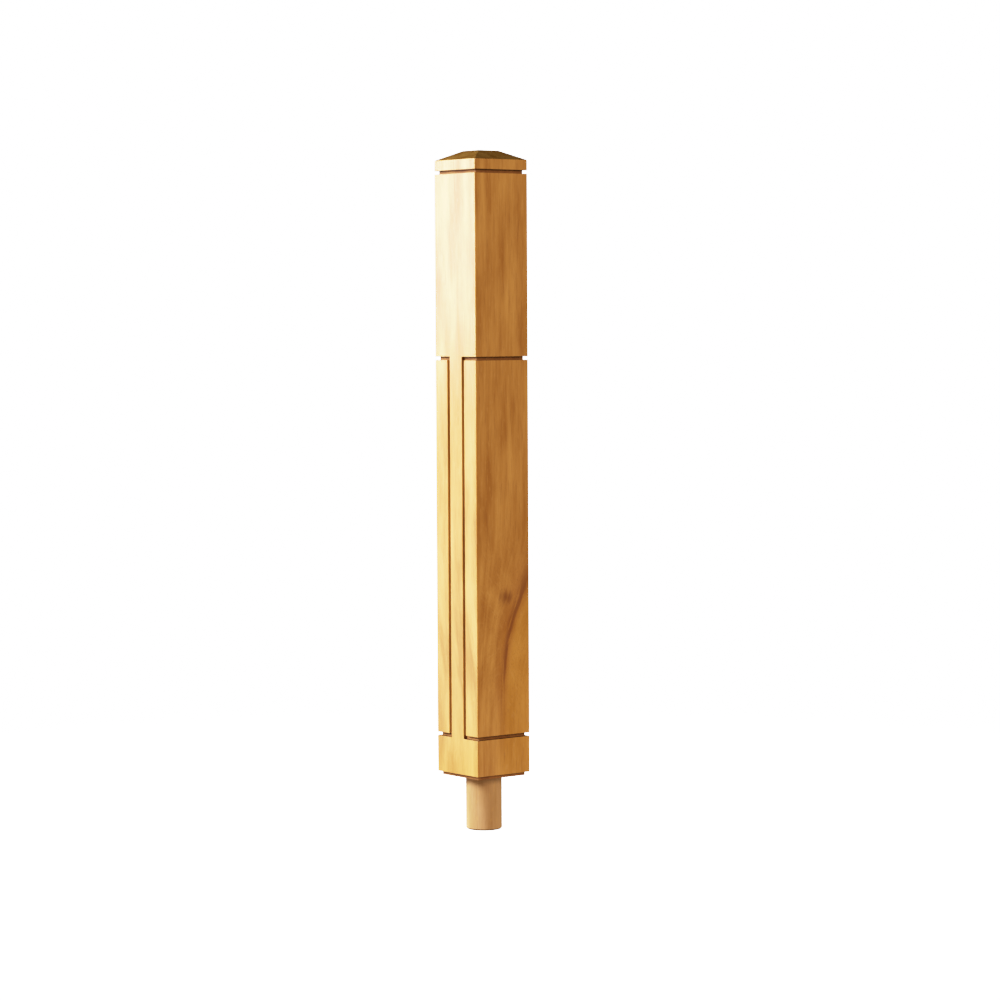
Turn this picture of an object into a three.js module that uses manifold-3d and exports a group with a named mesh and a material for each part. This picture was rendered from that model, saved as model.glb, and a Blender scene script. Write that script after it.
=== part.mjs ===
// A square timber newel post, cut from one blank: a low hipped cap, a plain upper block,
// panelled faces with narrow grooves, a base block on a stepped-in foot, and a round spigot.
// Units are millimetres and +Z is up. The origin is the centre of the spigot's lower end.
// The grooved faces look along -X and +X, and the plain faces along -Y and +Y.

import * as THREE from "three";
import { mergeVertices } from "three/addons/utils/BufferGeometryUtils.js";
import Module from "manifold-3d";

// Driving dimensions
const POST_WIDTH = 91; // square section, face to face
const POST_HEIGHT = 862; // from the shoulder over the spigot to the flat top of the cap
const ARRIS_RADIUS = 1.2; // the four long edges are eased to this radius
const SPIGOT_DIAMETER = 50;
const SPIGOT_LENGTH = 75;
const SPIGOT_CHAMFER = 2; // bevel round the spigot's lower end
const FOOT_HEIGHT = 4.8; // the stepped-in foot under the base block
const BASE_BLOCK_HEIGHT = 50;
const UPPER_BLOCK_HEIGHT = 250; // the plain block that a handrail meets
const CAP_HEIGHT = 32; // from the lower lip of the cap groove to the flat top
const CAP_RISE = 13; // height of the four cap slopes
const CAP_FLAT_WIDTH = 35; // the square flat that the slopes rise to
const GROOVE_WIDTH = 4.8;
const GROOVE_DEPTH = 4.8;
const STRIP_COUNT = 3; // equal strips that the upright grooves leave across a face

// Smoothness of the round parts
const ARRIS_SEGMENTS = 6;
const SPIGOT_SEGMENTS = 96;

// Levels above the spigot's lower end, worked out from the sizes above
const SHOULDER = SPIGOT_LENGTH;
const TOP = SHOULDER + POST_HEIGHT;
const BASE_BLOCK_BOTTOM = SHOULDER + FOOT_HEIGHT;
const LOWER_GROOVE = BASE_BLOCK_BOTTOM + BASE_BLOCK_HEIGHT;
const CAP_GROOVE = TOP - CAP_HEIGHT;
const MIDDLE_GROOVE_TOP = CAP_GROOVE - UPPER_BLOCK_HEIGHT;
const MIDDLE_GROOVE = MIDDLE_GROOVE_TOP - GROOVE_WIDTH;

// Sizes across the post
const CORE_WIDTH = POST_WIDTH - 2 * GROOVE_DEPTH;
const STRIP_WIDTH = (POST_WIDTH - (STRIP_COUNT - 1) * GROOVE_WIDTH) / STRIP_COUNT;
const GROOVE_OFFSET = (STRIP_WIDTH + GROOVE_WIDTH) / 2;
const CUTTER_WIDTH = POST_WIDTH + 20; // cutters stand clear of the outside
const OVERRUN = 5; // how far a joined or cut-out piece runs past its meeting plane

const wasm = await Module();
wasm.setup();

function toSolid(geometry) {
  geometry.deleteAttribute("normal");
  geometry.deleteAttribute("uv");
  const merged = mergeVertices(geometry);
  const corners = merged.index.array;
  const triVerts = [];
  for (let i = 0; i < corners.length; i += 3) {
    const [a, b, c] = corners.slice(i, i + 3);
    // triangles that shrink to a line on the axis of a turned piece are left out
    if (a !== b && b !== c && c !== a) {
      triVerts.push(a, b, c);
    }
  }
  const mesh = new wasm.Mesh({
    numProp: 3,
    vertProperties: new Float32Array(merged.attributes.position.array),
    triVerts: new Uint32Array(triVerts),
  });
  return new wasm.Manifold(mesh);
}

function toGeometry(solid) {
  const mesh = solid.getMesh();
  const geometry = new THREE.BufferGeometry();
  geometry.setAttribute("position", new THREE.BufferAttribute(mesh.vertProperties, 3));
  geometry.setIndex(new THREE.BufferAttribute(mesh.triVerts, 1));
  geometry.computeVertexNormals();
  return geometry;
}

function block(widthX, widthY, bottom, top, x = 0, y = 0) {
  const geometry = new THREE.BoxGeometry(widthX, widthY, top - bottom);
  geometry.translate(x, y, (bottom + top) / 2);
  return toSolid(geometry);
}

// The square blank with its eased long edges, standing on the shoulder
function makeBlank() {
  const centre = POST_WIDTH / 2 - ARRIS_RADIUS;
  const quarter = Math.PI / 2;
  const outline = new THREE.Shape();
  outline.absarc(centre, centre, ARRIS_RADIUS, 0, quarter);
  outline.absarc(-centre, centre, ARRIS_RADIUS, quarter, 2 * quarter);
  outline.absarc(-centre, -centre, ARRIS_RADIUS, 2 * quarter, 3 * quarter);
  outline.absarc(centre, -centre, ARRIS_RADIUS, 3 * quarter, 4 * quarter);
  const geometry = new THREE.ExtrudeGeometry(outline, {
    depth: POST_HEIGHT,
    bevelEnabled: false,
    curveSegments: ARRIS_SEGMENTS,
  });
  geometry.translate(0, 0, SHOULDER);
  return toSolid(geometry);
}

// A four-sided frustum whose sides are the cap's slopes, run on down past the shoulder
function makeRoof() {
  const height = POST_HEIGHT + OVERRUN;
  const run = (POST_WIDTH - CAP_FLAT_WIDTH) / CAP_RISE;
  const bottomWidth = CAP_FLAT_WIDTH + run * height;
  const cornerRadius = (width) => width / Math.SQRT2;
  const geometry = new THREE.CylinderGeometry(
    cornerRadius(CAP_FLAT_WIDTH),
    cornerRadius(bottomWidth),
    height,
    4,
  );
  geometry.rotateX(Math.PI / 2);
  geometry.rotateZ(Math.PI / 4);
  geometry.translate(0, 0, TOP - height / 2);
  return toSolid(geometry);
}

// What a cutter takes away round the post from one level to another, down to the core
function makeRingCut(bottom, top) {
  const slab = block(CUTTER_WIDTH, CUTTER_WIDTH, bottom, top);
  return slab.subtract(block(CORE_WIDTH, CORE_WIDTH, bottom - OVERRUN, top + OVERRUN));
}

// A groove round the post that stops at the middle strip of each grooved face
function makeBrokenRingCut(bottom) {
  const top = bottom + GROOVE_WIDTH;
  const strip = block(CUTTER_WIDTH + OVERRUN, STRIP_WIDTH, bottom - OVERRUN, top + OVERRUN);
  return makeRingCut(bottom, top).subtract(strip);
}

// An upright groove on one grooved face, from the lower groove up to the middle groove
function makeUprightCut(faceSide, grooveSide) {
  const reach = (CUTTER_WIDTH - CORE_WIDTH) / 2;
  const x = faceSide * (CORE_WIDTH + reach) / 2;
  const y = grooveSide * GROOVE_OFFSET;
  return block(reach, GROOVE_WIDTH, LOWER_GROOVE, MIDDLE_GROOVE_TOP, x, y);
}

// The turned spigot, run on into the foot so that the two join
function makeSpigot() {
  const radius = SPIGOT_DIAMETER / 2;
  const joinTop = SPIGOT_LENGTH + OVERRUN;
  const profile = [
    new THREE.Vector2(0, 0),
    new THREE.Vector2(radius - SPIGOT_CHAMFER, 0),
    new THREE.Vector2(radius, SPIGOT_CHAMFER),
    new THREE.Vector2(radius, joinTop),
    new THREE.Vector2(0, joinTop),
  ];
  const geometry = new THREE.LatheGeometry(profile, SPIGOT_SEGMENTS);
  geometry.rotateX(Math.PI / 2);
  return toSolid(geometry);
}

function makePost() {
  const cuts = [
    makeRingCut(SHOULDER - OVERRUN, BASE_BLOCK_BOTTOM),
    makeBrokenRingCut(LOWER_GROOVE),
    makeBrokenRingCut(MIDDLE_GROOVE),
    makeRingCut(CAP_GROOVE, CAP_GROOVE + GROOVE_WIDTH),
  ];
  for (const faceSide of [-1, 1]) {
    for (const grooveSide of [-1, 1]) {
      cuts.push(makeUprightCut(faceSide, grooveSide));
    }
  }
  let post = makeBlank().intersect(makeRoof());
  for (const cut of cuts) {
    post = post.subtract(cut);
  }
  return post.add(makeSpigot());
}

const oak = new THREE.MeshStandardMaterial({ color: 0xb97f42, roughness: 0.45, metalness: 0 });

const postMesh = new THREE.Mesh(toGeometry(makePost()), oak);
postMesh.name = "newel_post";

const newel = new THREE.Group();
newel.add(postMesh);

export default newel;
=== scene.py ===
import math

import bmesh
import bpy
from mathutils import Matrix, Vector


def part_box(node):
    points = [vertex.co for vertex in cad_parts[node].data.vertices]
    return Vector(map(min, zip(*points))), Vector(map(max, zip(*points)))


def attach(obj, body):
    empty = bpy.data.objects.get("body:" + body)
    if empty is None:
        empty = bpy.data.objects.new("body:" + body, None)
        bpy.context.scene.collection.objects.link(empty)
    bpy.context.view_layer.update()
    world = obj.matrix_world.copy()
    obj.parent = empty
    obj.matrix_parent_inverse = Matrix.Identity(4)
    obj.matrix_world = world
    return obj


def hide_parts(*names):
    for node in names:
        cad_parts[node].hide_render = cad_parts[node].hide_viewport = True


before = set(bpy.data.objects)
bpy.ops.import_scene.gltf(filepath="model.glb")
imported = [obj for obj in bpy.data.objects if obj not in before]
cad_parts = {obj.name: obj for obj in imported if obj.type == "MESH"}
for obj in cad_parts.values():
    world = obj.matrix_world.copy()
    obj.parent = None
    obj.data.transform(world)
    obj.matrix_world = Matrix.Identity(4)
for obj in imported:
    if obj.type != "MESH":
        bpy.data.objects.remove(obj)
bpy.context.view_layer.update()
print("frame loaded:", sorted(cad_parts))

mm = 0.001
near = 0.05  # in mm: places closer than this count as one
scene = bpy.context.scene


def linearColour(hexText):
    channels = [int(hexText[i:i + 2], 16) / 255 for i in (1, 3, 5)]
    linear = [c / 12.92 if c <= 0.04045 else ((c + 0.055) / 1.055) ** 2.4 for c in channels]
    return (*linear, 1.0)


# one node with its settings (socket names, socket numbers or node properties) and its links
def addNode(tree, kind, settings=None, links=None, out=0):
    node = tree.nodes.new("ShaderNode" + kind)
    for name, value in (settings or {}).items():
        if isinstance(name, int) or name in node.inputs:
            node.inputs[name].default_value = value
        else:
            setattr(node, name, value)
    for name, source in (links or {}).items():
        tree.links.new(source, node.inputs[name])
    return node.outputs[out] if node.outputs else None


# socket numbers of a Mix node that mixes colours, as its names stand for several sockets each
firstColour, secondColour, mixedColour = 6, 7, 2


# settings for a smooth step from 0 to top as a value goes from one number to another
def smoothStep(fromValue, toValue, top=1.0):
    return {
        "interpolation_type": "SMOOTHSTEP", "From Min": fromValue, "From Max": toValue, "To Max": top,
    }


def addObject(name, data):
    made = bpy.data.objects.new(name, data)
    scene.collection.objects.link(made)
    return made


# the timber, in mm: where the heart of the tree ran past the post, and what it left in the grain
timber = {
    "heart": (70.0, 34.0),  # X and Y of the heart, which ran up beyond the +X face
    "bendLevels": (424.0, 148.0),  # coming down between these levels, round the knot,
    "bendAcross": (-90.0, 0.0),  # and between these X from none to all of it,
    "bendShift": -70.0,  # the grain swings this far in Y
    "arcRadius": 90.0,  # distance from the heart where sizes round it hold
    "ringWander": 8.0,  # how far a ring strays from round
    "ringWidth": 3.4,  # one year's growth
    "ringUneven": 2.2,  # how many rings' widths the spacing strays by
    "springShare": (0.62, 0.05),  # shares of a year where spring wood is over, and where it is full
    "bandWidth": 9.0,  # runs of like years
    "bandDetail": 2.0,
    "streakRadius": 71.5,  # the dark ring that sweeps across the lower part of the -Y face
    "streakWidth": (16.0, 18.0),  # to either side of its middle before it leans, low down and high up
    "coreWidth": (5.0, 9.0),  # and of the darker line in it
    "streakLean": 0.35,  # how far it leans outwards: wider on its bark side, narrower on its heart side
    "streakFray": 10.0,  # how far its edges follow the fibres in and out
    "frayNoise": (0.5, 1.0),  # fibre noise from no fray to all of it
    "streakSpan": (90.0, 250.0, 330.0, 420.0),  # levels where it starts, is full, fades and ends
    "goldenRadius": (66.0, 90.0),  # nearer the heart the wood is more golden
    "knotPoint": (4.7, -45.5, 325.0),
    "knotSize": (15.0, 22.0, 13.0),
    "knotFray": 1.6,  # how far its edge follows the fibres, in its own radius
    "knotSwirl": 2.5,  # how far the rings bend round the knot,
    "swirlReach": (3.0, 0.3),  # from none to all of it, in the knot's own radius
    "poreNoise": (0.54, 0.70),  # pore noise where a pore starts, and where it is full
    "poreCrowd": (0.5, 1.0),  # how strongly pores show in summer wood, and in spring wood
    "fleckNoise": (0.58, 0.72),  # ray noise where a fleck starts, and where it is full
    "endSlope": (0.3, 0.85),  # how far a face looks up or down, from side grain to end grain
}

# noise in straight lines along the grain: size across and along it in mm, and levels of detail
lineNoise = {
    "wander": (70.0, 350.0, 2.0),
    "drift": (18.0, 100.0, 3.0),
    "pores": (1.0, 22.0, 2.0),  # open pores, drawn wider than the real 0.3 so that they show
}

# noise that follows the rings: size outward, round and along in mm, and levels of detail
ringNoise = {
    "fibre": (3.2, 22.0, 75.0, 3.0),
    "rays": (24.0, 1.3, 12.0, 1.0),  # ray flecks, drawn wider than the real 0.3 so that they show
}


# oak, planed and sealed with a clear satin lacquer: honey brown with fine upright lines, pores as
# short dark dashes, dull dark end grain, and a broad soft sheen where it faces a light
lacqueredOak = {
    "name": "lacquered planed oak",
    "summerWood": "#d09d50",  # the dense pale part of each ring
    "springWood": "#aa752e",  # the porous darker part
    "goldenHeart": "#d29a34",
    "rayFleck": "#d9aa62",
    "heartStreak": "#8f4c14",
    "streakCore": "#6c300a",
    "pinKnot": "#682e08",
    "pore": "#7d4e20",
    "endGrain": "#4a4c4a",
    "toneWeights": {"spring": 0.07, "bands": 0.6, "fibre": 0.75, "drift": 2.1},
    "toneShift": -1.22,
    "markStrengths": {
        "goldenHeart": 0.4,
        "rayFleck": 0.2,
        "heartStreak": 0.5,
        "streakCore": 0.6,
        "pinKnot": 0.6,
        "pore": 0.35,
        "endGrain": 0.9,
    },
    "roughness": 0.5,
    "poreRoughness": 0.65,
    "ior": 1.0,  # the lacquer does all the mirroring
    "lacquer": 1.0,
    "darkLacquer": 0.82,  # the share that stays on the darkest side grain; end grain drinks it all
    "lacquerRoughness": 0.27,
    "lacquerIor": 1.58,
    "poreDepth": 0.12,
    "reliefStrength": 0.6,
    "turningPitch": 0.0,  # only a turned face has any
    "turningDepth": 0.7,  # its rings are half of this deep, as a share of a pore's depth
}

# the same oak where a router has run along the grain: hardly sealed, so duller and greyer, and a little
# darker, which is painted shade for the groove walls
routedOakWithPaintedShade = {
    **lacqueredOak,
    "name": "oak routed along the grain, with painted shade",
    "summerWood": "#b8925c",
    "springWood": "#92703e",
    "goldenHeart": "#b8925a",
    "rayFleck": "#c2a06a",
    "roughness": 0.7,
    "poreRoughness": 0.8,
    "ior": 1.4,
    "lacquer": 0.0,
}

# and where it has cut across the grain, which drinks the finish: browner, and darker still, which is
# painted shade for the level grooves and the step under the block
crossCutOakWithPaintedShade = {
    **routedOakWithPaintedShade,
    "name": "oak routed across the grain, with painted shade",
    "summerWood": "#9c6832",
    "springWood": "#7a4a1e",
    "goldenHeart": "#9c6832",
    "rayFleck": "#a2743e",
}

# the same oak turned on a lathe and left bare: paler and greyer, matt, with faint rings from the tool
bareTurnedOak = {
    **lacqueredOak,
    "name": "bare turned oak",
    "summerWood": "#c59f73",
    "springWood": "#a67e4b",
    "goldenHeart": "#c4a26f",
    "pore": "#94683c",
    "roughness": 0.72,
    "poreRoughness": 0.85,
    "ior": 1.4,
    "lacquer": 0.0,
    "turningPitch": 1.6,  # tool feed in mm, drawn wider than the real 0.4 so that it shows
}


# where a point lies in the tree, in mm: on the post, from the heart, and round it
def findPlace(tree):
    place = addNode(tree, "TexCoord", out="Object")
    post = addNode(tree, "VectorMath", {"operation": "SCALE", "Scale": 1 / mm}, {0: place})
    across = addNode(tree, "SeparateXYZ", links={0: post}, out="X")
    level = addNode(tree, "SeparateXYZ", links={0: post}, out="Z")
    down = addNode(tree, "MapRange", smoothStep(*timber["bendLevels"]), {"Value": level})
    inside = addNode(
        tree, "MapRange", smoothStep(*timber["bendAcross"], timber["bendShift"]), {"Value": across},
    )
    heartX, heartY = timber["heart"]
    shiftedY = addNode(
        tree, "Math", {"operation": "MULTIPLY_ADD", 2: heartY}, {0: down, 1: inside},
    )
    heart = addNode(tree, "CombineXYZ", {"X": heartX}, {"Y": shiftedY})
    fromHeart = addNode(tree, "VectorMath", {"operation": "SUBTRACT"}, {0: heart, 1: post})
    outX = addNode(tree, "SeparateXYZ", links={0: fromHeart}, out="X")
    outY = addNode(tree, "SeparateXYZ", links={0: fromHeart}, out="Y")
    bearing = addNode(tree, "Math", {"operation": "ARCTAN2"}, {0: outY, 1: outX})
    arc = addNode(tree, "Math", {"operation": "MULTIPLY", 1: timber["arcRadius"]}, {0: bearing})
    flat = addNode(tree, "VectorMath", {"operation": "MULTIPLY", 1: (1, 1, 0)}, {0: fromHeart})
    distance = addNode(tree, "VectorMath", {"operation": "LENGTH"}, {0: flat}, out="Value")
    return {"post": post, "level": level, "fromHeart": fromHeart, "arc": arc, "distance": distance}


def findNoise(tree, place, size, detail):
    scaled = addNode(tree, "VectorMath", {"operation": "DIVIDE", 1: size}, {0: place})
    return addNode(tree, "TexNoise", {"Scale": 1.0, "Detail": detail}, {"Vector": scaled})


# how near a point is to the pin knot: 0 in its middle, 1 at its edge
def findKnot(tree, post):
    away = addNode(tree, "VectorMath", {"operation": "SUBTRACT", 1: timber["knotPoint"]}, {0: post})
    share = addNode(tree, "VectorMath", {"operation": "DIVIDE", 1: timber["knotSize"]}, {0: away})
    return addNode(tree, "VectorMath", {"operation": "LENGTH"}, {0: share}, out="Value")


# everything that the grain is drawn from at a point: its place, the knot, the rings and the noise
def findGrain(tree):
    grain = findPlace(tree)
    for kind, (across, along, detail) in lineNoise.items():
        grain[kind] = findNoise(tree, grain["fromHeart"], (across, across, along), detail)

    # distance from the heart, swinging round the knot and straying from round as real rings do
    grain["knot"] = findKnot(tree, grain["post"])
    swirl = addNode(
        tree, "MapRange", smoothStep(*timber["swirlReach"], timber["knotSwirl"]), {"Value": grain["knot"]},
    )
    grain["swung"] = addNode(tree, "Math", {"operation": "ADD"}, {0: grain["distance"], 1: swirl})
    stray = addNode(
        tree, "MapRange",
        {"clamp": False, "To Min": -timber["ringWander"], "To Max": timber["ringWander"]},
        {"Value": grain["wander"]},
    )
    grain["radius"] = addNode(tree, "Math", {"operation": "ADD"}, {0: grain["swung"], 1: stray})
    rings = addNode(tree, "CombineXYZ", links={0: grain["radius"], 1: grain["arc"], 2: grain["level"]})
    for kind, (outward, around, along, detail) in ringNoise.items():
        grain[kind] = findNoise(tree, rings, (outward, around, along), detail)

    # each year starts with porous spring wood that fades into dense summer wood
    bandPlace = addNode(
        tree, "Math", {"operation": "DIVIDE", 1: timber["bandWidth"]}, {0: grain["radius"]},
    )
    grain["bands"] = addNode(
        tree, "TexNoise", {"noise_dimensions": "1D", "Scale": 1.0, "Detail": timber["bandDetail"]},
        {"W": bandPlace},
    )
    evenYears = addNode(
        tree, "Math", {"operation": "DIVIDE", 1: timber["ringWidth"]}, {0: grain["radius"]},
    )
    years = addNode(
        tree, "Math", {"operation": "MULTIPLY_ADD", 1: timber["ringUneven"]},
        {0: grain["bands"], 2: evenYears},
    )
    yearShare = addNode(tree, "Math", {"operation": "FRACT"}, {0: years})
    grain["spring"] = addNode(
        tree, "MapRange", smoothStep(*timber["springShare"]), {"Value": yearShare},
    )
    return grain


# how dark the plain grain is at a point: its weighted parts, added one by one to the look's shift
def findTone(tree, look, grain):
    soFar = {}
    for part, weight in look["toneWeights"].items():
        settings = {"operation": "MULTIPLY_ADD", 1: weight, 2: look["toneShift"]}
        tone = addNode(tree, "Math", settings, {0: grain[part], **soFar})
        soFar = {2: tone}
    return tone


# the dark ring, frayed along the fibres, wider higher up and only over the levels where it shows
def findStreak(tree, grain, widths):
    lean = timber["streakLean"]
    away = addNode(
        tree, "Math", {"operation": "SUBTRACT", 1: timber["streakRadius"]}, {0: grain["swung"]},
    )
    barkSide = addNode(tree, "Math", {"operation": "MULTIPLY", 1: 1 - lean}, {0: away})
    heartSide = addNode(tree, "Math", {"operation": "MULTIPLY", 1: -1 - lean}, {0: away})
    reach = addNode(tree, "Math", {"operation": "MAXIMUM"}, {0: barkSide, 1: heartSide})
    frayFrom, frayTo = timber["frayNoise"]
    fray = addNode(
        tree, "MapRange", {"From Min": frayFrom, "From Max": frayTo, "To Max": timber["streakFray"]},
        {"Value": grain["fibre"]},
    )
    frayed = addNode(tree, "Math", {"operation": "ADD"}, {0: reach, 1: fray})
    starts, full, fades, ends = timber["streakSpan"]
    low, high = widths
    width = addNode(
        tree, "MapRange", {"From Min": full, "From Max": ends, "To Min": low, "To Max": high},
        {"Value": grain["level"]},
    )
    share = addNode(tree, "Math", {"operation": "DIVIDE"}, {0: frayed, 1: width})
    line = addNode(tree, "MapRange", smoothStep(1.0, 0.0), {"Value": share})
    rise = addNode(tree, "MapRange", smoothStep(starts, full), {"Value": grain["level"]})
    fall = addNode(tree, "MapRange", smoothStep(ends, fades), {"Value": grain["level"]})
    span = addNode(tree, "Math", {"operation": "MULTIPLY"}, {0: rise, 1: fall})
    return addNode(tree, "Math", {"operation": "MULTIPLY"}, {0: line, 1: span})


# pores crowd into the spring wood
def findPores(tree, grain):
    poreFrom, poreTo = timber["poreNoise"]
    inSummer, inSpring = timber["poreCrowd"]
    spots = addNode(tree, "MapRange", {"From Min": poreFrom, "From Max": poreTo}, {"Value": grain["pores"]})
    crowd = addNode(tree, "MapRange", {"To Min": inSummer, "To Max": inSpring}, {"Value": grain["spring"]})
    return addNode(tree, "Math", {"operation": "MULTIPLY"}, {0: spots, 1: crowd})


# where the marks lie over the plain grain, each from 0 to 1 and named as its colour is
def findMarks(tree, grain):
    golden = smoothStep(*reversed(timber["goldenRadius"]))
    fleckFrom, fleckTo = timber["fleckNoise"]
    knotFray = addNode(
        tree, "MapRange",
        {"clamp": False, "To Min": -timber["knotFray"] / 2, "To Max": timber["knotFray"] / 2},
        {"Value": grain["fibre"]},
    )
    frayedKnot = addNode(tree, "Math", {"operation": "ADD"}, {0: grain["knot"], 1: knotFray})
    return {
        "goldenHeart": addNode(tree, "MapRange", golden, {"Value": grain["radius"]}),
        "rayFleck": addNode(
            tree, "MapRange", {"From Min": fleckFrom, "From Max": fleckTo}, {"Value": grain["rays"]},
        ),
        "heartStreak": findStreak(tree, grain, timber["streakWidth"]),
        "streakCore": findStreak(tree, grain, timber["coreWidth"]),
        "pinKnot": addNode(tree, "MapRange", smoothStep(1.0, 0.0), {"Value": frayedKnot}),
        "pore": findPores(tree, grain),
    }


def makeOak(look):
    material = bpy.data.materials.new(look["name"])
    material.use_nodes = True
    tree = material.node_tree
    tree.nodes.clear()
    grain = findGrain(tree)
    tone = findTone(tree, look, grain)
    marks = findMarks(tree, grain)

    # end grain drinks the finish, so faces that look up or down are darker and duller
    normal = addNode(tree, "TexCoord", out="Normal")
    facing = addNode(tree, "SeparateXYZ", links={0: normal}, out="Z")
    upDown = addNode(tree, "Math", {"operation": "ABSOLUTE"}, {0: facing})
    marks["endGrain"] = addNode(tree, "MapRange", smoothStep(*timber["endSlope"]), {"Value": upDown})
    sideGrain = addNode(
        tree, "MapRange", smoothStep(*reversed(timber["endSlope"])), {"Value": upDown},
    )
    sealed = addNode(
        tree, "MapRange", {"To Min": look["lacquer"], "To Max": look["lacquer"] * look["darkLacquer"]},
        {"Value": tone},
    )
    lacquer = addNode(tree, "Math", {"operation": "MULTIPLY"}, {0: sealed, 1: sideGrain})

    colour = addNode(
        tree, "Mix",
        {
            "data_type": "RGBA",
            firstColour: linearColour(look["summerWood"]),
            secondColour: linearColour(look["springWood"]),
        },
        {0: tone}, out=mixedColour,
    )
    for mark, strength in look["markStrengths"].items():
        share = addNode(tree, "Math", {"operation": "MULTIPLY", 1: strength}, {0: marks[mark]})
        way = "MULTIPLY" if mark == "endGrain" else "MIX"
        colour = addNode(
            tree, "Mix", {"data_type": "RGBA", "blend_type": way, secondColour: linearColour(look[mark])},
            {0: share, firstColour: colour}, out=mixedColour,
        )

    # pores are small pits, and a turned face keeps the tool's fine rings
    relief = addNode(tree, "Math", {"operation": "MULTIPLY", 1: -1.0}, {0: marks["pore"]})
    if look["turningPitch"]:
        turns = addNode(tree, "Math", {"operation": "DIVIDE", 1: look["turningPitch"]}, {0: grain["level"]})
        turnShare = addNode(tree, "Math", {"operation": "PINGPONG", 1: 0.5}, {0: turns})
        relief = addNode(
            tree, "Math", {"operation": "MULTIPLY_ADD", 1: look["turningDepth"]},
            {0: turnShare, 2: relief},
        )
    bump = addNode(
        tree, "Bump", {"Strength": look["reliefStrength"], "Distance": look["poreDepth"] * mm},
        {"Height": relief},
    )
    roughness = addNode(
        tree, "MapRange", {"To Min": look["roughness"], "To Max": look["poreRoughness"]},
        {"Value": marks["pore"]},
    )
    shader = addNode(
        tree, "BsdfPrincipled",
        {"IOR": look["ior"], "Coat Roughness": look["lacquerRoughness"], "Coat IOR": look["lacquerIor"]},
        {"Base Color": colour, "Roughness": roughness, "Normal": bump, "Coat Weight": lacquer},
    )
    addNode(tree, "OutputMaterial", links={"Surface": shader})
    return material


# the post, in mm: levels are counted from the spigot's lower end
lowCorner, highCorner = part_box("newel_post")
postSizes = {
    "width": (highCorner.x - lowCorner.x) / mm,
    "height": highCorner.z / mm,
    "spigotLength": 75.0,
    "spigotRadius": 25.0,
    "spigotChamfer": 2.0,
    "spigotLetIn": 2.8,  # how far it runs up into the foot, so that the two join
    "spigotSides": 96,
    "footHeight": 4.8,
    "baseBlock": 50.0,
    "upperBlock": 250.0,
    "capHeight": 32.0,
    "capRise": 13.0,
    "capFlat": 35.0,
    "groove": 4.8,  # as deep as it is wide
    "strips": 3,
    "arrisEase": 1.2,  # the long corners, rubbed down
    "capEase": 0.9,  # the cap's eaves, hips and flat
    "lipEase": 0.4,  # the lips of the level grooves and the small steps
    "uprightLipEase": 0.9,
    "spigotEase": 0.35,
    "easeSteps": 4,
    "easeFrom": 15.0,  # edges that turn by fewer degrees than this are not eased
    "flatWithin": 0.01,  # radians between faces that count as one plane
}


def postLevels(sizes):
    shoulder = sizes["spigotLength"]
    baseBottom = shoulder + sizes["footHeight"]
    lowerGroove = baseBottom + sizes["baseBlock"]
    capGroove = sizes["height"] - sizes["capHeight"]
    middleTop = capGroove - sizes["upperBlock"]
    return {
        "shoulder": shoulder,
        "baseBottom": baseBottom,
        "lowerGroove": lowerGroove,
        "lowerTop": lowerGroove + sizes["groove"],
        "middleGroove": middleTop - sizes["groove"],
        "middleTop": middleTop,
        "capGroove": capGroove,
        "capGrooveTop": capGroove + sizes["groove"],
        "eaves": sizes["height"] - sizes["capRise"],
        "top": sizes["height"],
    }


# whether a level lies in one of the cuts that run across the grain
def isCrossCut(levels, z):
    cuts = [
        ("shoulder", "baseBottom"), ("lowerGroove", "lowerTop"),
        ("middleGroove", "middleTop"), ("capGroove", "capGrooveTop"),
    ]
    return any(levels[low] - near < z < levels[high] + near for low, high in cuts)


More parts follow.
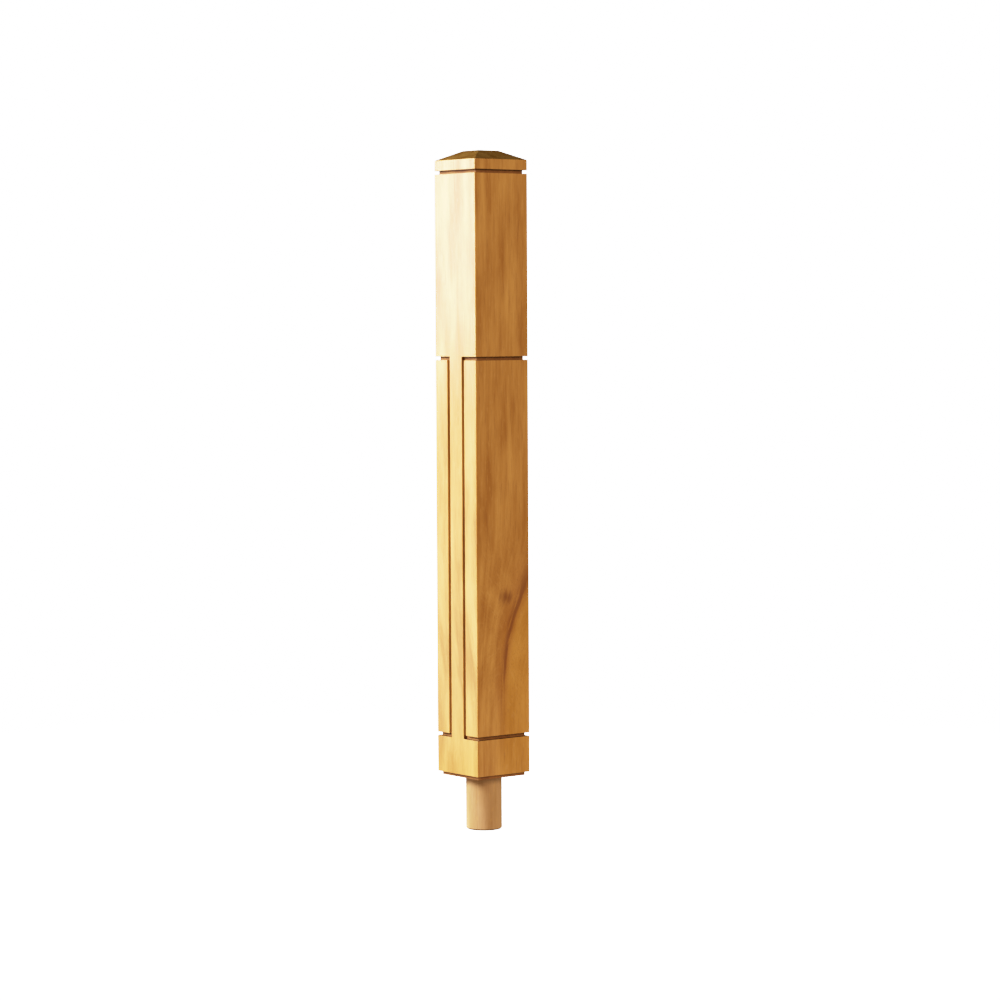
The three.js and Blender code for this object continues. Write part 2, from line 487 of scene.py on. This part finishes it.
# the squared part is a stack of box cells: the cutters' paths decide which cells are left as timber
def makeSquaredPart(sizes, levels):
    half = sizes["width"] / 2
    core = half - sizes["groove"]
    stripHalf = (sizes["width"] - (sizes["strips"] - 1) * sizes["groove"]) / sizes["strips"] / 2
    stripEdge = stripHalf + sizes["groove"]
    xs = [-half, -core, core, half]
    ys = [-half, -core, -stripEdge, -stripHalf, stripHalf, stripEdge, core, half]
    zs = list(levels.values())

    def isTimber(x, y, z):
        if abs(x) < core and abs(y) < core:
            return True
        if z < levels["baseBottom"] or levels["capGroove"] < z < levels["capGrooveTop"]:
            return False
        inLower = levels["lowerGroove"] < z < levels["lowerTop"]
        inMiddle = levels["middleGroove"] < z < levels["middleTop"]
        if (inLower or inMiddle) and abs(y) > stripHalf:
            return False
        betweenGrooves = levels["lowerGroove"] < z < levels["middleTop"]
        return not (betweenGrooves and stripHalf < abs(y) < stripEdge)

    def inside(cell):
        grids = (xs, ys, zs)
        if any(n < 0 or n >= len(grid) - 1 for n, grid in zip(cell, grids)):
            return False
        return isTimber(*((grid[n] + grid[n + 1]) / 2 for n, grid in zip(cell, grids)))

    shape = bmesh.new()
    corners = {}

    # the top corners are drawn in to the cap's flat, which leaves the four slopes
    def corner(i, j, k):
        if (i, j, k) not in corners:
            pull = sizes["capFlat"] / sizes["width"] if zs[k] == levels["top"] else 1.0
            corners[i, j, k] = shape.verts.new((xs[i] * pull * mm, ys[j] * pull * mm, zs[k] * mm))
        return corners[i, j, k]

    # each side of a cell, as the way it looks and its four corners
    sides = [
        ((-1, 0, 0), ((0, 0, 0), (0, 0, 1), (0, 1, 1), (0, 1, 0))),
        ((1, 0, 0), ((1, 0, 0), (1, 1, 0), (1, 1, 1), (1, 0, 1))),
        ((0, -1, 0), ((0, 0, 0), (1, 0, 0), (1, 0, 1), (0, 0, 1))),
        ((0, 1, 0), ((0, 1, 0), (0, 1, 1), (1, 1, 1), (1, 1, 0))),
        ((0, 0, -1), ((0, 0, 0), (0, 1, 0), (1, 1, 0), (1, 0, 0))),
        ((0, 0, 1), ((0, 0, 1), (1, 0, 1), (1, 1, 1), (0, 1, 1))),
    ]
    for i in range(len(xs) - 1):
        for j in range(len(ys) - 1):
            for k in range(len(zs) - 1):
                if not inside((i, j, k)):
                    continue
                for (di, dj, dk), quad in sides:
                    if not inside((i + di, j + dj, k + dk)):
                        face = shape.faces.new([corner(i + a, j + b, k + c) for a, b, c in quad])
                        face.material_index = int(isCrossCut(levels, (zs[k] + zs[k + 1]) / 2))
    # cells that lie in one plane become one face, but level and upright cuts stay apart
    bmesh.ops.dissolve_limit(
        shape, angle_limit=sizes["flatWithin"], verts=shape.verts[:], edges=shape.edges[:],
        delimit={"MATERIAL"},
    )
    mesh = bpy.data.meshes.new("squaredPart")
    shape.to_mesh(mesh)
    shape.free()
    return mesh


def makeSpigot(sizes, levels):
    radius = sizes["spigotRadius"]
    chamfer = sizes["spigotChamfer"]
    joinTop = levels["shoulder"] + sizes["spigotLetIn"]
    profile = [(radius - chamfer, 0.0), (radius, chamfer), (radius, joinTop)]
    turns = [2 * math.pi * n / sizes["spigotSides"] for n in range(sizes["spigotSides"])]
    shape = bmesh.new()
    rings = []
    for r, z in profile:
        rings.append([
            shape.verts.new((r * math.cos(a) * mm, r * math.sin(a) * mm, z * mm)) for a in turns
        ])
    for lower, upper in zip(rings, rings[1:]):
        for n in range(len(lower)):
            m = (n + 1) % len(lower)
            shape.faces.new((lower[n], lower[m], upper[m], upper[n]))
    shape.faces.new(list(reversed(rings[0])))
    shape.faces.new(rings[-1])
    mesh = bpy.data.meshes.new("spigotPart")
    shape.to_mesh(mesh)
    shape.free()
    return mesh


# how far an edge is eased, by where it lies; inside corners stay sharp, as a cutter leaves them
def easeEdges(mesh, sizes, levels):
    shape = bmesh.new()
    shape.from_mesh(mesh)
    weights = shape.edges.layers.float.new("bevel_weight_edge")
    half = sizes["width"] / 2 * mm
    close = near * mm
    for edge in shape.edges:
        turn = edge.calc_face_angle_signed(0.0)
        if abs(turn) < math.radians(sizes["easeFrom"]):
            continue
        if turn < 0:
            edge.smooth = False
            continue
        ends = [v.co for v in edge.verts]
        upright = abs(ends[0].z - ends[1].z) > close
        onCorner = all(abs(abs(p.x) - half) < close and abs(abs(p.y) - half) < close for p in ends)
        if all(p.z > levels["eaves"] * mm - close for p in ends):
            ease = sizes["capEase"]
        elif upright and onCorner:
            ease = sizes["arrisEase"]
        elif all(p.z < levels["shoulder"] * mm - close for p in ends):
            ease = sizes["spigotEase"]
        elif upright and all(p.z < levels["middleTop"] * mm + close for p in ends):
            ease = sizes["uprightLipEase"]
        else:
            ease = sizes["lipEase"]
        edge[weights] = ease / sizes["arrisEase"]
    for face in shape.faces:
        face.smooth = True
    shape.to_mesh(mesh)
    shape.free()


def bakeModifiers(piece):
    depsgraph = bpy.context.evaluated_depsgraph_get()
    finished = bpy.data.meshes.new_from_object(piece.evaluated_get(depsgraph))
    piece.modifiers.clear()
    piece.data = finished


def makePost(sizes):
    levels = postLevels(sizes)
    post = addObject("oak_newel_post", makeSquaredPart(sizes, levels))
    spigot = addObject("spigotTool", makeSpigot(sizes, levels))
    join = post.modifiers.new("joinSpigot", "BOOLEAN")
    join.operation = "UNION"
    join.solver = "EXACT"
    join.object = spigot
    bakeModifiers(post)
    bpy.data.objects.remove(spigot)

    easeEdges(post.data, sizes, levels)
    ease = post.modifiers.new("easedEdges", "BEVEL")
    ease.limit_method = "WEIGHT"
    ease.width = sizes["arrisEase"] * mm
    ease.segments = sizes["easeSteps"]
    ease.harden_normals = True
    bakeModifiers(post)

    # outer faces are planed, what lies behind them is routed, and the spigot is turned
    planed, routed, crossCut, turned = range(4)
    post.data.materials.clear()
    for look in (lacqueredOak, routedOakWithPaintedShade, crossCutOakWithPaintedShade, bareTurnedOak):
        post.data.materials.append(makeOak(look))
    grooveFrom = (sizes["width"] / 2 - sizes["uprightLipEase"] - near) * mm
    for face in post.data.polygons:
        reach = max(abs(face.center.x), abs(face.center.y))
        if face.center.z < (levels["shoulder"] + near) * mm:
            face.material_index = turned
        # the level grooves and the step under the block take the cross-cut oak, whose extra darkness is
        # painted shade
        elif face.center.z < levels["eaves"] * mm and reach < grooveFrom:
            # the upright groove walls take the routed oak, whose slightly darker colours are painted shade
            face.material_index = crossCut if isCrossCut(levels, face.center.z / mm) else routed
        else:
            face.material_index = planed
    return post


newelPost = makePost(postSizes)
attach(newelPost, "root")
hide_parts("newel_post")
print("post made:", len(newelPost.data.polygons), "faces")


# the camera's film, as points of light and what it shows as: straight up to the first point, then a
# soft shoulder that ends in white
film = {
    "whiteAt": 2.6,  # light that shows as white
    "shoulder": (
        (0.58, 0.58), (0.7, 0.665), (0.85, 0.74), (1.03, 0.797), (1.3, 0.885), (1.5, 0.92), (1.9, 0.94),
    ),
}


def setFilm(look):
    view = scene.view_settings
    view.view_transform = "Standard"
    view.use_curve_mapping = True
    white = look["whiteAt"]
    view.curve_mapping.white_level = (white, white, white)
    allChannels = 3  # the curve that bends red, green and blue alike
    curve = view.curve_mapping.curves[allChannels]
    for light, shown in look["shoulder"]:
        curve.points.new(light / white, shown)
    straightTo = look["shoulder"][0][0] / white
    for point in curve.points:
        point.handle_type = "VECTOR" if point.location.x <= straightTo else "AUTO"
    view.curve_mapping.update()


# a white studio: pale floor that fades into the backdrop and is clear from below, panel lights, and
# warm light from the room
studio = {
    "floorColour": "#ebebeb",
    "floorGlow": 2.4,  # lifts the floor to white in the picture
    "floorBounce": 0.72,  # what the floor throws up on the post
    "floorRadius": 2.6,
    "floorSides": 96,
    "floorDrop": 0.1,  # mm below the spigot's end, so that the two don't share a plane
    "floorFade": (0.3, 1.4),  # metres from the post where the floor starts and ends its fade
    "backdrop": "#ffffff",
    "roomColour": "#ffe2c8",
    "roomGlow": 0.3,
}

# panel lights: colour, size in metres, watts, bearing in degrees from the -Y side round towards +X,
# distance, height and the height they aim at
panels = {
    "sheenBox": {  # mirrored as a sheen in the upper half of the grooved face
        "colour": "#ffffff", "size": (0.45, 1.4), "power": 21.5,
        "bearing": -142.0, "distance": 1.4, "height": 1.295, "aim": 0.9,
    },
    "sheenStrip": {  # carries that sheen on downwards, fainter, and hangs past the faded floor
        "colour": "#ffffff", "size": (0.45, 0.9), "power": 3.4,
        "bearing": -142.0, "distance": 1.4, "height": 0.15, "aim": 0.15,
    },
    "capPanel": {  # picks out the cap slope over the grooved face
        "colour": "#ffffff", "size": (0.5, 0.5), "power": 35.0,
        "bearing": -142.0, "distance": 1.3, "height": 2.1, "aim": 0.93,
    },
    "keyPanel": {  # lights the grooved face from its own side
        "colour": "#ffffff", "size": (2.0, 2.0), "power": 685.0,
        "bearing": -115.0, "distance": 5.0, "height": 3.2, "aim": 0.3,
    },
    "fillPanel": {  # a warm reflector for the plain face
        "colour": "#ffe2c8", "size": (2.0, 2.0), "power": 141.0,
        "bearing": 5.0, "distance": 5.0, "height": 2.6, "aim": 0.3,
    },
}


def makeFloor(look):
    shape = bmesh.new()
    bmesh.ops.create_circle(
        shape, cap_ends=True, segments=look["floorSides"], radius=look["floorRadius"],
    )
    mesh = bpy.data.meshes.new("studioFloor")
    shape.to_mesh(mesh)
    shape.free()
    floor = addObject("studio_floor", mesh)
    floor.location.z = -look["floorDrop"] * mm
    material = bpy.data.materials.new("painted studio floor")
    material.use_nodes = True
    tree = material.node_tree
    tree.nodes.clear()
    place = addNode(tree, "TexCoord", out="Object")
    away = addNode(tree, "VectorMath", {"operation": "LENGTH"}, {0: place}, out="Value")
    fade = addNode(tree, "MapRange", smoothStep(*look["floorFade"]), {"Value": away})
    below = addNode(tree, "NewGeometry", out="Backfacing")
    seeThrough = addNode(tree, "Math", {"operation": "MAXIMUM"}, {0: fade, 1: below})
    paint = addNode(tree, "BsdfDiffuse", {"Color": linearColour(look["floorColour"])})
    glow = addNode(tree, "Emission", {"Strength": look["floorGlow"]})
    lit = addNode(tree, "AddShader", links={0: paint, 1: glow})
    bounce = addNode(
        tree, "Emission", {"Color": linearColour(look["roomColour"]), "Strength": look["floorBounce"]},
    )
    seen = addNode(tree, "LightPath", out="Is Camera Ray")
    shown = addNode(tree, "MixShader", links={0: seen, 1: bounce, 2: lit})
    clear = addNode(tree, "BsdfTransparent")
    mixed = addNode(tree, "MixShader", links={0: seeThrough, 1: shown, 2: clear})
    addNode(tree, "OutputMaterial", links={"Surface": mixed})
    mesh.materials.append(material)


def makeRoom(look):
    world = bpy.data.worlds.new("studioRoom")
    scene.world = world
    world.use_nodes = True
    tree = world.node_tree
    tree.nodes.clear()
    room = addNode(
        tree, "Background", {"Color": linearColour(look["roomColour"]), "Strength": look["roomGlow"]},
    )
    backdrop = addNode(
        tree, "Background", {"Color": linearColour(look["backdrop"]), "Strength": film["whiteAt"]},
    )
    seen = addNode(tree, "LightPath", out="Is Camera Ray")
    mixed = addNode(tree, "MixShader", links={0: seen, 1: room, 2: backdrop})
    addNode(tree, "OutputWorld", links={"Surface": mixed})


def makePanel(name, look):
    light = bpy.data.lights.new(name, "AREA")
    light.shape = "RECTANGLE"
    light.size, light.size_y = look["size"]
    light.color = linearColour(look["colour"])[:3]
    light.energy = look["power"]
    lamp = addObject(name, light)
    bearing = math.radians(look["bearing"])
    away = look["distance"]
    lamp.location = (math.sin(bearing) * away, -math.cos(bearing) * away, look["height"])
    aim = Vector((0, 0, look["aim"])) - lamp.location
    lamp.rotation_mode = "QUATERNION"
    lamp.rotation_quaternion = aim.to_track_quat("-Z", "Y")
    lamp.visible_camera = False


setFilm(film)
makeFloor(studio)
makeRoom(studio)
for name, look in panels.items():
    makePanel(name, look)
print("studio made")

# where the photograph was taken from: a long lens, three quarters of the way up the post and turned a
# little off its near corner
photoCamera = {
    "lens": 116.2,
    "sensor": 36.0,
    "distance": 4.453,
    "height": 0.710,
    "bearing": 38.01,  # degrees from the -Y side round towards the -X side
    "pan": 0.313,  # degrees turned to the right of the post
    "tilt": 3.257,  # degrees looking down
    "roll": -0.282,
}


def makeCamera(view):
    data = bpy.data.cameras.new("photoCamera")
    data.lens = view["lens"]
    data.sensor_width = view["sensor"]
    camera = addObject("photoCamera", data)
    bearing = math.radians(view["bearing"])
    place = Matrix.Translation((
        -math.sin(bearing) * view["distance"], -math.cos(bearing) * view["distance"], view["height"],
    ))
    yaw = Matrix.Rotation(-bearing - math.radians(view["pan"]), 4, "Z")
    pitch = Matrix.Rotation(math.radians(90 - view["tilt"]), 4, "X")
    roll = Matrix.Rotation(math.radians(view["roll"]), 4, "Z")
    camera.matrix_world = place @ yaw @ pitch @ roll
    scene.camera = camera


makeCamera(photoCamera)
print("camera set")
